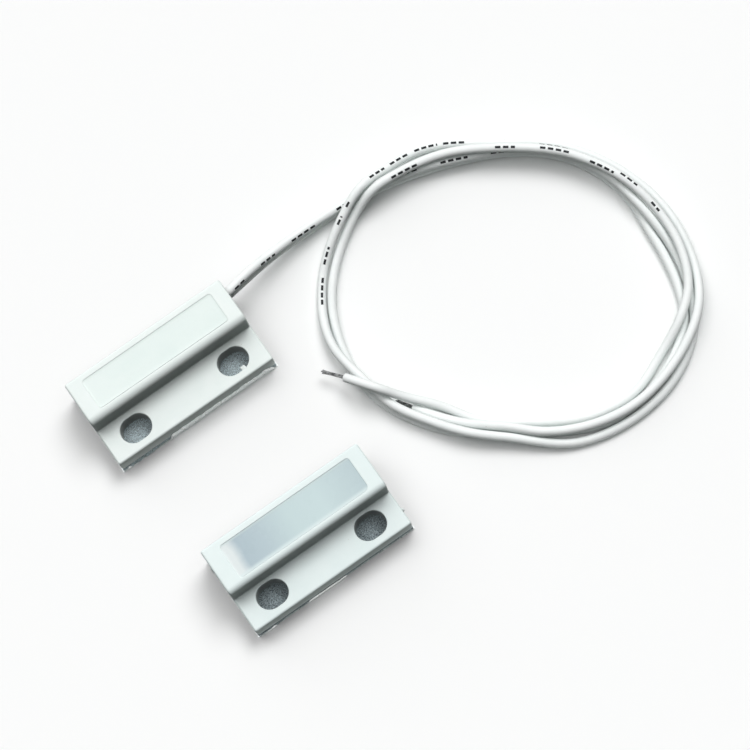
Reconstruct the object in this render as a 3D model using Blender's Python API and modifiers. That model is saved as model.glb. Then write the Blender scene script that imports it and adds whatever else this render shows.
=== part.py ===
"""Magnetic door contact: a wired reed switch half, and the magnet half that passes in front of it.

Each half is a moulded angle block, a bar with a screw flange along its front, on a foam pad with
a release liner. The bar is a tub: the switch half holds a reed switch under potting, the magnet
half a bar magnet under potting. Two leads come out of the switch bar and lie coiled on the table.
"""
import math

import bmesh
import bpy
import numpy as np
from mathutils import Matrix, Vector

# Moulded angle blocks
HALF_LENGTH = 0.0280
HALF_WIDTH = 0.0138
SWITCH_BAR_WIDTH = 0.0076
MAGNET_BAR_WIDTH = 0.0080
BAR_HEIGHT = 0.0080
FLANGE_THICKNESS = 0.0035
EDGE_ROUND = 0.0003
FLOOR_THICKNESS = 0.0012

# Screw slots in the flange
SLOT_LENGTH = 0.0050
SLOT_WIDTH = 0.0040
SLOT_SPACING = 0.0176
SLOT_FROM_FRONT = 0.00325

# Walls round the tub of each bar, as seen from above with the flange in front
SWITCH_LEFT_WALL = 0.0025
SWITCH_RIGHT_WALL = 0.0023
SWITCH_FRONT_WALL = 0.0014
MAGNET_LEFT_WALL = 0.00275
MAGNET_RIGHT_WALL = 0.0023
MAGNET_FRONT_WALL = 0.00115
BACK_WALL = 0.0011
TUB_CORNER_RADIUS = 0.0005
MAGNET_TUB_FRONT_RIGHT_RADIUS = 0.0008

# Potting, pad and liner
SWITCH_POTTING_BELOW_RIM = 0.0001
MAGNET_POTTING_BELOW_RIM = 0.00015
FOAM_THICKNESS = 0.0009
LINER_THICKNESS = 0.0001

# Clearances: FIT_GAP parts each inner piece from what holds it
FIT_GAP = 0.00005
OUTLET_GAP = 0.00008

# Room round the bar magnet in its tub: it is pushed up against the right end
MAGNET_LEFT_ROOM = 0.0019
MAGNET_RIGHT_ROOM = 0.0001
MAGNET_SIDE_ROOM = 0.000475
MAGNET_COVER = 0.00125
MAGNET_EDGE_ROUND = 0.0002

# Reed switch: its leads are trimmed to leave this room at each end of the tub
FAR_LEAD_ROOM = 0.0016
NEAR_LEAD_ROOM = 0.0036
GLASS_RADIUS = 0.0010
GLASS_WALL = 0.0003
GLASS_NECK_LENGTH = 0.0015
GLASS_END_RADIUS = 0.00062
GLASS_SHOULDER = 0.0009
BORE_TAPER = 0.0006
REED_TO_FRONT_WALL = 0.0006
REED_TO_FLOOR = 0.0013
LEAD_RADIUS = 0.00025
LEAD_OUTSIDE = 0.0030
BLADE_WIDTH = 0.0009
BLADE_THICKNESS = 0.0002
BLADE_OVERLAP = 0.0006
BLADE_TAPER = 0.0009
CONTACT_GAP = 0.0001

# Solder joints between the reed's leads and the wires
SOLDER_LENGTH = 0.0018
SOLDER_WIDTH = 0.00124
SOLDER_HEIGHT = 0.0019
SOLDER_FROM_TIP = 0.0007
STRAND_OVER_LEAD = 0.0006
STRAND_PAST_SOLDER = 0.0002

# Wires
WIRE_DIAMETER = 0.0014
WIRE_STACK_GAP = 0.0001
WIRE_TO_BACK_WALL = 0.0001
WIRE_ABOVE_FLOOR = 0.0025
NEAR_WIRE_IN_TUB = 0.0011
FAR_WIRE_PAST_GLASS_END = 0.0003
WIRE_STRAIGHT_OUTSIDE = 0.0004
STRAND_RADIUS = 0.00027
TABLE_CLEARANCE = 0.00002
WIRE_POINTS = 78
STRAND_POINTS = 9

# Where the halves lie: the middle of each footprint
SWITCH_HALF_AT = Vector((-0.0013, 0.0163, 0.0))
MAGNET_HALF_AT = Vector((0.0013, -0.0163, 0.0))

# Route of the wire to the near lead, from its outlet round two turns to its free end
NEAR_WIRE_ROUTE = [
    (0.0158, 0.0219, 0.0047), (0.0204, 0.0230, 0.0029), (0.0294, 0.0238, 0.0008), (0.0375, 0.0235, 0.0007),
    (0.0545, 0.0189, 0.0007), (0.0586, 0.0170, 0.0007), (0.0672, 0.0096, 0.0007), (0.0706, 0.0008, 0.0007),
    (0.0702, -0.0073, 0.0007), (0.0698, -0.0109, 0.0007), (0.0664, -0.0207, 0.0007), (0.0572, -0.0264, 0.0007),
    (0.0486, -0.0270, 0.0007), (0.0370, -0.0211, 0.0007), (0.0265, -0.0123, 0.0007), (0.0220, -0.0035, 0.0007),
    (0.0217, 0.0025, 0.0007), (0.0250, 0.0124, 0.0007), (0.0326, 0.0198, 0.0012), (0.0362, 0.0217, 0.0020),
    (0.0403, 0.0225, 0.0039), (0.0442, 0.0224, 0.0038), (0.0516, 0.0209, 0.0036), (0.0588, 0.0168, 0.0038),
    (0.0675, 0.0090, 0.0038), (0.0715, 0.0014, 0.0036), (0.0728, -0.0053, 0.0025), (0.0721, -0.0121, 0.0022),
    (0.0693, -0.0177, 0.0023), (0.0659, -0.0205, 0.0023), (0.0609, -0.0229, 0.0010), (0.0532, -0.0256, 0.0007),
    (0.0483, -0.0252, 0.0007), (0.0379, -0.0198, 0.0007), (0.0322, -0.0150, 0.0007), (0.0292, -0.0106, 0.0013),
    (0.0249, -0.0058, 0.0026), (0.0228, -0.0034, 0.0042), (0.0199, 0.0010, 0.0029),
]
NEAR_STRAND_TIP = (0.0175, 0.0042, 0.0021)

# Route of the wire to the far lead, which crosses the other one several times
FAR_WIRE_ROUTE = [
    (0.0163, 0.0221, 0.0062), (0.0224, 0.0233, 0.0039), (0.0315, 0.0238, 0.0023), (0.0387, 0.0234, 0.0022),
    (0.0537, 0.0191, 0.0023), (0.0659, 0.0112, 0.0023), (0.0700, 0.0039, 0.0023), (0.0711, -0.0020, 0.0022),
    (0.0715, -0.0076, 0.0015), (0.0713, -0.0123, 0.0007), (0.0699, -0.0172, 0.0008), (0.0673, -0.0221, 0.0007),
    (0.0609, -0.0269, 0.0007), (0.0508, -0.0287, 0.0007), (0.0429, -0.0270, 0.0008), (0.0343, -0.0203, 0.0020),
    (0.0303, -0.0167, 0.0024), (0.0263, -0.0115, 0.0022), (0.0232, -0.0061, 0.0022), (0.0219, -0.0002, 0.0022),
    (0.0211, 0.0059, 0.0021), (0.0259, 0.0163, 0.0007), (0.0335, 0.0218, 0.0030), (0.0383, 0.0238, 0.0040),
    (0.0431, 0.0245, 0.0023), (0.0492, 0.0243, 0.0009), (0.0597, 0.0182, 0.0007), (0.0666, 0.0129, 0.0007),
    (0.0727, 0.0027, 0.0007), (0.0742, -0.0068, 0.0008), (0.0735, -0.0118, 0.0007), (0.0694, -0.0203, 0.0021),
    (0.0605, -0.0258, 0.0023), (0.0521, -0.0273, 0.0023), (0.0459, -0.0262, 0.0023), (0.0392, -0.0228, 0.0023),
    (0.0353, -0.0191, 0.0022), (0.0304, -0.0147, 0.0017), (0.0257, -0.0082, 0.0007),
]
FAR_STRAND_TIP = (0.0241, -0.0059, 0.00145)

# Values that follow from the ones above, in the frame of a half: X along it, Y to its back, Z up
PAD_TOP = LINER_THICKNESS + FOAM_THICKNESS
RIM_TOP = PAD_TOP + BAR_HEIGHT
TUB_FLOOR = PAD_TOP + FLOOR_THICKNESS
WIRE_RADIUS = WIRE_DIAMETER / 2
SWITCH_TUB_LEFT = -HALF_LENGTH / 2 + SWITCH_LEFT_WALL
SWITCH_TUB_RIGHT = HALF_LENGTH / 2 - SWITCH_RIGHT_WALL
SWITCH_TUB_FRONT = HALF_WIDTH / 2 - SWITCH_BAR_WIDTH + SWITCH_FRONT_WALL
MAGNET_TUB_LEFT = -HALF_LENGTH / 2 + MAGNET_LEFT_WALL
MAGNET_TUB_RIGHT = HALF_LENGTH / 2 - MAGNET_RIGHT_WALL
MAGNET_TUB_FRONT = HALF_WIDTH / 2 - MAGNET_BAR_WIDTH + MAGNET_FRONT_WALL
TUB_BACK = HALF_WIDTH / 2 - BACK_WALL
FAR_LEAD_TIP = SWITCH_TUB_LEFT + FAR_LEAD_ROOM
NEAR_LEAD_TIP = SWITCH_TUB_RIGHT - NEAR_LEAD_ROOM
GLASS_LENGTH = NEAR_LEAD_TIP - FAR_LEAD_TIP - 2 * LEAD_OUTSIDE
REED_MIDDLE = (NEAR_LEAD_TIP + FAR_LEAD_TIP) / 2
REED_Y = SWITCH_TUB_FRONT + REED_TO_FRONT_WALL + GLASS_RADIUS
REED_Z = TUB_FLOOR + REED_TO_FLOOR + GLASS_RADIUS
WIRE_Y = TUB_BACK - WIRE_TO_BACK_WALL - WIRE_RADIUS
NEAR_WIRE_Z = TUB_FLOOR + WIRE_ABOVE_FLOOR + WIRE_RADIUS
FAR_WIRE_Z = NEAR_WIRE_Z + WIRE_DIAMETER + WIRE_STACK_GAP
NEAR_WIRE_END = SWITCH_TUB_RIGHT - NEAR_WIRE_IN_TUB
FAR_WIRE_END = REED_MIDDLE - GLASS_LENGTH / 2 + FAR_WIRE_PAST_GLASS_END
SEAL_FROM_MIDDLE = GLASS_LENGTH / 2 - GLASS_NECK_LENGTH / 2
LEAD_TIP_FROM_MIDDLE = GLASS_LENGTH / 2 + LEAD_OUTSIDE
MAGNET_POTTING_TOP = RIM_TOP - MAGNET_POTTING_BELOW_RIM
MAGNET_SIZE = Vector((
    MAGNET_TUB_RIGHT - MAGNET_TUB_LEFT - MAGNET_LEFT_ROOM - MAGNET_RIGHT_ROOM,
    TUB_BACK - MAGNET_TUB_FRONT - 2 * MAGNET_SIDE_ROOM,
    MAGNET_POTTING_TOP - MAGNET_COVER - TUB_FLOOR,
))
STRAND_Z = REED_Z + STRAND_OVER_LEAD


def new_collection(name):
    collection = bpy.data.collections.new(name)
    bpy.context.scene.collection.children.link(collection)
    return collection


def new_material(name, color, roughness, metallic=0.0, alpha=1.0):
    material = bpy.data.materials.new(name)
    material.use_nodes = True
    shader = material.node_tree.nodes["Principled BSDF"]
    shader.inputs["Base Color"].default_value = (*color, 1.0)
    shader.inputs["Roughness"].default_value = roughness
    shader.inputs["Metallic"].default_value = metallic
    shader.inputs["Alpha"].default_value = alpha
    return material


def new_empty(name, location, collection):
    empty = bpy.data.objects.new(name, None)
    empty.location = location
    empty.empty_display_size = HALF_WIDTH / 2
    collection.objects.link(empty)
    return empty


def new_part(name, data, material, parent, collection, location=(0, 0, 0)):
    """An object for one sub-part, under the empty of its half."""
    part = bpy.data.objects.new(name, data)
    part.parent = parent
    part.location = location
    data.materials.append(material)
    collection.objects.link(part)
    return part


def new_cutter(name, mesh, parent, collection):
    """A shape that is only cut away from others: never rendered, shown as wires."""
    cutter = bpy.data.objects.new(name, mesh)
    cutter.parent = parent
    cutter.hide_render = True
    cutter.display_type = "WIRE"
    collection.objects.link(cutter)
    return cutter


def cut(part, *cutters):
    for cutter in cutters:
        boolean = part.modifiers.new("cut " + cutter.name, "BOOLEAN")
        boolean.operation = "DIFFERENCE"
        boolean.solver = "EXACT"
        boolean.object = cutter


def round_edges(part, width, segments=2):
    bevel = part.modifiers.new("round edges", "BEVEL")
    bevel.width = width
    bevel.segments = segments
    bevel.limit_method = "ANGLE"
    bevel.angle_limit = math.radians(40)


def shade_round(mesh):
    """Smooth shading on the round faces, with the real edges kept sharp."""
    mesh.shade_smooth()
    mesh.set_sharp_from_angle(angle=math.radians(40))


def mesh_from_curve(curve):
    """The closed mesh of a curve, with its loose caps welded on and flat caps as single faces."""
    carrier = bpy.data.objects.new(curve.name, curve)
    bpy.context.scene.collection.objects.link(carrier)
    depsgraph = bpy.context.evaluated_depsgraph_get()
    mesh = bpy.data.meshes.new_from_object(carrier.evaluated_get(depsgraph))
    bpy.data.objects.remove(carrier)
    bpy.data.curves.remove(curve)
    shape = bmesh.new()
    shape.from_mesh(mesh)
    bmesh.ops.remove_doubles(shape, verts=shape.verts, dist=1e-6)
    bmesh.ops.dissolve_limit(shape, angle_limit=math.radians(0.5), verts=shape.verts, edges=shape.edges)
    bmesh.ops.recalc_face_normals(shape, faces=shape.faces)
    shape.to_mesh(mesh)
    shape.free()
    return mesh


def prism(name, outline, bottom, top):
    """A flat outline extruded up from one height to another."""
    curve = bpy.data.curves.new(name, "CURVE")
    curve.dimensions = "2D"
    curve.fill_mode = "BOTH"
    curve.extrude = (top - bottom) / 2
    spline = curve.splines.new("POLY")
    spline.points.add(len(outline) - 1)
    for point, (x, y) in zip(spline.points, outline):
        point.co = (x, y, 0, 1)
    spline.use_cyclic_u = True
    mesh = mesh_from_curve(curve)
    mesh.transform(Matrix.Translation((0, 0, (top + bottom) / 2)))
    return mesh


def tube_curve(name, points, radius, roundness=2):
    """A round bar along the points, with filled ends."""
    curve = bpy.data.curves.new(name, "CURVE")
    curve.dimensions = "3D"
    curve.bevel_depth = radius
    curve.bevel_resolution = roundness
    curve.use_fill_caps = True
    spline = curve.splines.new("POLY")
    spline.points.add(len(points) - 1)
    for point, place in zip(spline.points, points):
        point.co = (*place, 1)
    spline.use_smooth = True
    return curve


def arc(centre, radius, start, end, steps):
    """Points of an arc round a centre, angles in degrees."""
    angles = [math.radians(start + (end - start) * i / steps) for i in range(steps + 1)]
    return [(centre[0] + radius * math.cos(a), centre[1] + radius * math.sin(a)) for a in angles]


def rounded_rectangle(left, right, front, back, radius, front_right_radius=None, steps=3):
    """Outline with round corners. The front right corner can have a radius of its own."""
    own = front_right_radius or radius
    return (
        arc((right - own, front + own), own, -90, 0, steps)
        + arc((right - radius, back - radius), radius, 0, 90, steps)
        + arc((left + radius, back - radius), radius, 90, 180, steps)
        + arc((left + radius, front + radius), radius, 180, 270, steps)
    )


def obround(length, width, steps=12):
    """Outline of a slot with round ends, long along X."""
    offset = (length - width) / 2
    return arc((offset, 0), width / 2, -90, 90, steps) + arc((-offset, 0), width / 2, 90, 270, steps)


def angle_section(bar_width):
    """Section across a half: the bar at the back, the flange in front of it."""
    front = -HALF_WIDTH / 2
    back = HALF_WIDTH / 2
    step = back - bar_width
    return [
        (front, PAD_TOP),
        (back, PAD_TOP),
        (back, RIM_TOP),
        (step, RIM_TOP),
        (step, PAD_TOP + FLANGE_THICKNESS),
        (front, PAD_TOP + FLANGE_THICKNESS),
    ]


def footprint():
    """Outline of a half seen from above, which its pad and liner share."""
    half_length = HALF_LENGTH / 2
    half_width = HALF_WIDTH / 2
    return rounded_rectangle(-half_length, half_length, -half_width, half_width, EDGE_ROUND)


def switch_tub_outline(inset=0.0):
    return rounded_rectangle(
        SWITCH_TUB_LEFT + inset,
        SWITCH_TUB_RIGHT - inset,
        SWITCH_TUB_FRONT + inset,
        TUB_BACK - inset,
        TUB_CORNER_RADIUS,
    )


def magnet_tub_outline(inset=0.0):
    return rounded_rectangle(
        MAGNET_TUB_LEFT + inset,
        MAGNET_TUB_RIGHT - inset,
        MAGNET_TUB_FRONT + inset,
        TUB_BACK - inset,
        TUB_CORNER_RADIUS,
        MAGNET_TUB_FRONT_RIGHT_RADIUS,
    )


def angle_block(name, bar_width, material, parent, parts):
    """The moulded block of a half, before its openings: the section drawn out along X."""
    mesh = prism(name, angle_section(bar_width), -HALF_LENGTH / 2, HALF_LENGTH / 2)
    section_to_half = Matrix(((0, 0, 1, 0), (1, 0, 0, 0), (0, 1, 0, 0), (0, 0, 0, 1)))
    mesh.transform(section_to_half)
    block = new_part(name, mesh, material, parent, parts)
    round_edges(block, EDGE_ROUND, segments=3)
    return block


def slot_cutters(name, parent, cutters):
    """The pair of screw slots, each a little taller than the flange."""
    made = []
    for side in (-1, 1):
        outline = [
            (x + side * SLOT_SPACING / 2, y - HALF_WIDTH / 2 + SLOT_FROM_FRONT)
            for x, y in obround(SLOT_LENGTH, SLOT_WIDTH)
        ]
        mesh = prism(name, outline, PAD_TOP - FLANGE_THICKNESS, PAD_TOP + 2 * FLANGE_THICKNESS)
        made.append(new_cutter(f"{name}_{'left' if side < 0 else 'right'}", mesh, parent, cutters))
    return made


def outlet_cutter(parent, cutters):
    """The upright slot through which both wires leave, open from the near wire's end outwards."""
    width = WIRE_DIAMETER + 2 * OUTLET_GAP
    height = width + FAR_WIRE_Z - NEAR_WIRE_Z
    mesh = prism("outlet", obround(height, width, 8), NEAR_WIRE_END - OUTLET_GAP, HALF_LENGTH)
    turn = Matrix(((0, 0, 1, 0), (0, 1, 0, 0), (-1, 0, 0, 0), (0, 0, 0, 1)))
    middle = Matrix.Translation((0, WIRE_Y, (NEAR_WIRE_Z + FAR_WIRE_Z) / 2))
    mesh.transform(middle @ turn)
    return new_cutter("outlet", mesh, parent, cutters)


def bar_along_x(name, start, end, y, z, radius, roundness=2):
    """A straight round bar as a closed mesh."""
    return mesh_from_curve(tube_curve(name, [(start, y, z), (end, y, z)], radius, roundness))


def glass_tube(material, parent, parts):
    """The reed's glass: a turned tube, drawn in at both ends to a neck round each lead."""
    half = GLASS_LENGTH / 2
    neck = LEAD_RADIUS + FIT_GAP
    bore = GLASS_RADIUS - GLASS_WALL
    shoulder_steps = 4
    shoulder = []
    for i in range(shoulder_steps + 1):
        turn = math.pi / 2 * i / shoulder_steps
        radius = GLASS_END_RADIUS + (GLASS_RADIUS - GLASS_END_RADIUS) * math.sin(turn)
        shoulder.append((radius, half - GLASS_SHOULDER * (1 - math.cos(turn))))
    lower_shoulder = [(radius, -height) for radius, height in reversed(shoulder)]
    taper_end = half - GLASS_NECK_LENGTH - BORE_TAPER
    inside = [
        (neck, -half),
        (neck, -half + GLASS_NECK_LENGTH),
        (bore, -taper_end),
        (bore, taper_end),
        (neck, half - GLASS_NECK_LENGTH),
        (neck, half),
    ]
    profile = shoulder + lower_shoulder + inside
    mesh = bpy.data.meshes.new("reed_glass")
    corners = [(radius, 0, height) for radius, height in profile]
    edges = [(i, (i + 1) % len(profile)) for i in range(len(profile))]
    mesh.from_pydata(corners, edges, [])
    glass = new_part("reed_glass", mesh, material, parent, parts, (REED_MIDDLE, REED_Y, REED_Z))
    glass.rotation_euler = (0, math.pi / 2, 0)
    turned = glass.modifiers.new("turned", "SCREW")
    turned.axis = "Z"
    turned.angle = 2 * math.pi
    turned.steps = 20
    turned.render_steps = 20
    turned.use_merge_vertices = True
    turned.merge_threshold = 1e-6
    turned.use_smooth_shade = True
    return glass


def blade_section(along, sides=16):
    """Section of a reed at a distance from its seal: round wire, flattened towards the contact."""
    start = GLASS_NECK_LENGTH / 2
    flat = min(max((along - start) / BLADE_TAPER, 0.0), 1.0)
    flat = flat * flat * (3 - 2 * flat)
    half_width = LEAD_RADIUS + (BLADE_WIDTH / 2 - LEAD_RADIUS) * flat
    half_thickness = LEAD_RADIUS + (BLADE_THICKNESS / 2 - LEAD_RADIUS) * flat
    squareness = 1 - 0.6 * flat
    drop = -(CONTACT_GAP + BLADE_THICKNESS) / 2 * flat
    points = []
    for i in range(sides):
        turn = 2 * math.pi * i / sides
        across = math.copysign(abs(math.cos(turn)) ** squareness, math.cos(turn))
        up = math.copysign(abs(math.sin(turn)) ** squareness, math.sin(turn))
        points.append((along, across * half_width, drop + up * half_thickness))
    return points


def blade_mesh():
    """One reed, lead and contact blade in one piece, along +X from its tip outside the glass.

    The section changes from round to flat, so it is lofted through rings of points.
    """
    start = -GLASS_NECK_LENGTH / 2 - LEAD_OUTSIDE
    flat_from = GLASS_NECK_LENGTH / 2
    end = SEAL_FROM_MIDDLE + BLADE_OVERLAP / 2
    stations = [start, flat_from]
    stations += [flat_from + BLADE_TAPER * share for share in (0.25, 0.5, 0.75, 1.0)]
    stations.append(end)
    shape = bmesh.new()
    rings = [[shape.verts.new(point) for point in blade_section(along)] for along in stations]
    for ring, following in zip(rings, rings[1:]):
        for i in range(len(ring)):
            after = (i + 1) % len(ring)
            shape.faces.new((ring[i], ring[after], following[after], following[i]))
    shape.faces.new(rings[0])
    shape.faces.new(reversed(rings[-1]))
    bmesh.ops.recalc_face_normals(shape, faces=shape.faces)
    mesh = bpy.data.meshes.new("reed_blade")
    shape.to_mesh(mesh)
    shape.free()
    shade_round(mesh)
    return mesh


def reed_blades(material, parent, parts):
    """The two reeds share a mesh. The near one is the far one turned half round."""
    mesh = blade_mesh()
    for name, side, turn in (("reed_blade_far", -1, 0), ("reed_blade_near", 1, math.pi)):
        place = (REED_MIDDLE + side * SEAL_FROM_MIDDLE, REED_Y, REED_Z)
        blade = new_part(name, mesh.copy(), material, parent, parts, place)
        blade.rotation_euler = (0, turn, 0)
    bpy.data.meshes.remove(mesh)


def solder_centre(side):
    """Middle of a solder joint, on the near (+1) or far (-1) lead."""
    along = REED_MIDDLE + side * (LEAD_TIP_FROM_MIDDLE - SOLDER_FROM_TIP)
    return Vector((along, REED_Y, (REED_Z + STRAND_Z) / 2))


def solder_mesh(name, side, grow=0.0):
    """A drop of solder, drawn out along the lead."""
    shape = bmesh.new()
    bmesh.ops.create_uvsphere(shape, u_segments=16, v_segments=10, radius=1)
    size = Vector((SOLDER_LENGTH, SOLDER_WIDTH, SOLDER_HEIGHT)) / 2
    size += Vector((grow, grow, grow))
    bmesh.ops.scale(shape, vec=size, verts=shape.verts)
    bmesh.ops.translate(shape, vec=solder_centre(side), verts=shape.verts)
    mesh = bpy.data.meshes.new(name)
    shape.to_mesh(mesh)
    shape.free()
    shade_round(mesh)
    return mesh


def strand_route(side, wire_end, wire_z):
    """A bared strand: an easy double bend from the wire's end to the top of the lead."""
    middle = solder_centre(side).x
    begin = Vector((wire_end - FIT_GAP, WIRE_Y, wire_z))
    straight = middle + SOLDER_LENGTH / 2
    points = []
    for i in range(STRAND_POINTS):
        share = i / (STRAND_POINTS - 1)
        ease = share * share * (3 - 2 * share)
        points.append((
            begin.x + (straight - begin.x) * share,
            begin.y + (REED_Y - begin.y) * ease,
            begin.z + (STRAND_Z - begin.z) * ease,
        ))
    points.append((middle - SOLDER_LENGTH / 2 - STRAND_PAST_SOLDER, REED_Y, STRAND_Z))
    return points


def smooth_route(points, count):
    """Even points along a smooth curve through the route's own points."""
    route = np.array(points, dtype=float)
    length = np.linalg.norm(np.diff(route, axis=0), axis=1)
    slope = np.diff(route, axis=0) / length[:, None]
    tangent = np.empty_like(route)
    before = slope[:-1] * length[1:, None]
    after = slope[1:] * length[:-1, None]
    tangent[1:-1] = (before + after) / (length[1:] + length[:-1])[:, None]
    tangent[0] = 2 * slope[0] - tangent[1]
    tangent[-1] = 2 * slope[-1] - tangent[-2]
    u = np.linspace(0, 1, 40, endpoint=False)[:, None]
    spans = []
    for k in range(len(length)):
        spans.append(
            (2 * u**3 - 3 * u**2 + 1) * route[k]
            + (u**3 - 2 * u**2 + u) * length[k] * tangent[k]
            + (3 * u**2 - 2 * u**3) * route[k + 1]
            + (u**3 - u**2) * length[k] * tangent[k + 1]
        )
    fine = np.vstack([*spans, route[-1:]])
    travelled = np.concatenate([[0], np.cumsum(np.linalg.norm(np.diff(fine, axis=0), axis=1))])
    stops = np.linspace(0, travelled[-1], count)
    even = np.column_stack([np.interp(stops, travelled, fine[:, axis]) for axis in range(3)])
    even[:, 2] = np.maximum(even[:, 2], WIRE_RADIUS + TABLE_CLEARANCE)
    return even


def wire_points(inner_end, wire_z, route):
    """A wire from its inner end, straight through the outlet, then along its route on the table."""
    inside = SWITCH_HALF_AT + Vector((inner_end, WIRE_Y, wire_z))
    outside = SWITCH_HALF_AT + Vector((HALF_LENGTH / 2 + WIRE_STRAIGHT_OUTSIDE, WIRE_Y, wire_z))
    on_table = smooth_route([outside, *route], WIRE_POINTS)
    return np.vstack([inside, on_table]) - np.array(SWITCH_HALF_AT)


def wire_with_strands(label, side, inner_end, wire_z, route, tip, looks, parent, parts):
    """One lead: the insulated wire, its tinned free end and the bared strand at the reed."""
    points = wire_points(inner_end, wire_z, route)
    wire = tube_curve(f"wire_{label}", points, WIRE_RADIUS)
    new_part(f"wire_{label}", wire, looks["insulation"], parent, parts)

    end = Vector(points[-1])
    onward = (end - Vector(points[-2])).normalized()
    bend = end + onward * 2 * STRAND_RADIUS
    tinned_points = [end + onward * FIT_GAP, bend, Vector(tip) - SWITCH_HALF_AT]
    tinned = tube_curve(f"tinned_end_{label}", tinned_points, STRAND_RADIUS)
    new_part(f"tinned_end_{label}", tinned, looks["tinned"], parent, parts)

    inner = tube_curve(f"inner_strand_{label}", strand_route(side, inner_end, wire_z), STRAND_RADIUS)
    new_part(f"inner_strand_{label}", inner, looks["tinned"], parent, parts)


def switch_half(looks, parts, cutters):
    half = new_empty("switch_half", SWITCH_HALF_AT, parts)

    housing = angle_block("switch_housing", SWITCH_BAR_WIDTH, looks["housing"], half, parts)
    tub = new_cutter("switch_tub", prism("tub", switch_tub_outline(), TUB_FLOOR, 2 * RIM_TOP), half, cutters)
    outlet = outlet_cutter(half, cutters)
    cut(housing, tub, *slot_cutters("switch_slot", half, cutters), outlet)

    glass_tube(looks["glass"], half, parts)
    reed_blades(looks["reed"], half, parts)

    wire_with_strands(
        "near", 1, NEAR_WIRE_END, NEAR_WIRE_Z, NEAR_WIRE_ROUTE, NEAR_STRAND_TIP, looks, half, parts
    )
    wire_with_strands("far", -1, FAR_WIRE_END, FAR_WIRE_Z, FAR_WIRE_ROUTE, FAR_STRAND_TIP, looks, half, parts)

    # Room for the reed and the wires, each shape grown by the fit
    middle = REED_MIDDLE
    glass_reach = GLASS_LENGTH / 2 + FIT_GAP
    glass_room = bar_along_x(
        "glass_room", middle - glass_reach, middle + glass_reach, REED_Y, REED_Z, GLASS_RADIUS + FIT_GAP, 8
    )
    lead_reach = LEAD_TIP_FROM_MIDDLE + FIT_GAP
    lead_room = bar_along_x(
        "lead_room", middle - lead_reach, middle + lead_reach, REED_Y, REED_Z, LEAD_RADIUS + FIT_GAP
    )
    wire_room = bar_along_x(
        "wire_room", FAR_WIRE_END - FIT_GAP, SWITCH_TUB_RIGHT, WIRE_Y, FAR_WIRE_Z, WIRE_RADIUS + FIT_GAP
    )
    lead_room = new_cutter("lead_room", lead_room, half, cutters)
    rooms = [
        outlet,
        new_cutter("wire_room", wire_room, half, cutters),
        new_cutter("glass_room", glass_room, half, cutters),
        lead_room,
    ]
    for label, side, wire_end, wire_z in (
        ("near", 1, NEAR_WIRE_END, NEAR_WIRE_Z),
        ("far", -1, FAR_WIRE_END, FAR_WIRE_Z),
    ):
        strand = tube_curve("strand_room", strand_route(side, wire_end, wire_z), STRAND_RADIUS + FIT_GAP)
        strand_room = new_cutter(f"strand_room_{label}", mesh_from_curve(strand), half, cutters)
        solder_room = solder_mesh("solder_room", side, FIT_GAP)
        rooms += [strand_room, new_cutter(f"solder_room_{label}", solder_room, half, cutters)]
        solder = solder_mesh(f"solder_joint_{label}", side)
        joint = new_part(f"solder_joint_{label}", solder, looks["solder"], half, parts)
        cut(joint, lead_room, strand_room)

    potting_top = RIM_TOP - SWITCH_POTTING_BELOW_RIM
    potting = prism("switch_potting", switch_tub_outline(FIT_GAP), TUB_FLOOR + FIT_GAP, potting_top)
    potting = new_part("switch_potting", potting, looks["switch potting"], half, parts)
    cut(potting, *rooms)

    pad_and_liner("switch", looks, half, parts)


def magnet_half(looks, parts, cutters):
    half = new_empty("magnet_half", MAGNET_HALF_AT, parts)

    housing = angle_block("magnet_housing", MAGNET_BAR_WIDTH, looks["housing"], half, parts)
    tub = new_cutter("magnet_tub", prism("tub", magnet_tub_outline(), TUB_FLOOR, 2 * RIM_TOP), half, cutters)
    cut(housing, tub, *slot_cutters("magnet_slot", half, cutters))

    # The magnet lies on the tub's floor, and the potting's room for it is open below
    place = Vector((
        MAGNET_TUB_RIGHT - MAGNET_RIGHT_ROOM - MAGNET_SIZE.x / 2,
        (MAGNET_TUB_FRONT + TUB_BACK) / 2,
        TUB_FLOOR + MAGNET_SIZE.z / 2,
    ))
    magnet = new_part("bar_magnet", block(MAGNET_SIZE), looks["magnet"], half, parts, place)
    round_edges(magnet, MAGNET_EDGE_ROUND)
    room_size = MAGNET_SIZE + 2 * Vector((FIT_GAP, FIT_GAP, FIT_GAP))
    room = new_cutter("magnet_room", block(room_size), half, cutters)
    room.location = place

    potting = prism(
        "magnet_potting", magnet_tub_outline(FIT_GAP), TUB_FLOOR + FIT_GAP / 2, MAGNET_POTTING_TOP
    )
    potting = new_part("magnet_potting", potting, looks["magnet potting"], half, parts)
    cut(potting, room)

    pad_and_liner("magnet", looks, half, parts)


def block(size):
    """A box round its own middle."""
    shape = bmesh.new()
    bmesh.ops.create_cube(shape, size=1)
    bmesh.ops.scale(shape, vec=size, verts=shape.verts)
    mesh = bpy.data.meshes.new("block")
    shape.to_mesh(mesh)
    shape.free()
    return mesh


def pad_and_liner(label, looks, half, parts):
    """The adhesive foam under a half, and the release film that still covers it."""
    foam = prism(f"{label}_foam_pad", footprint(), LINER_THICKNESS, PAD_TOP)
    new_part(f"{label}_foam_pad", foam, looks["foam"], half, parts)
    liner = prism(f"{label}_liner", footprint(), 0, LINER_THICKNESS)
    new_part(f"{label}_liner", liner, looks["liner"], half, parts)


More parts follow.
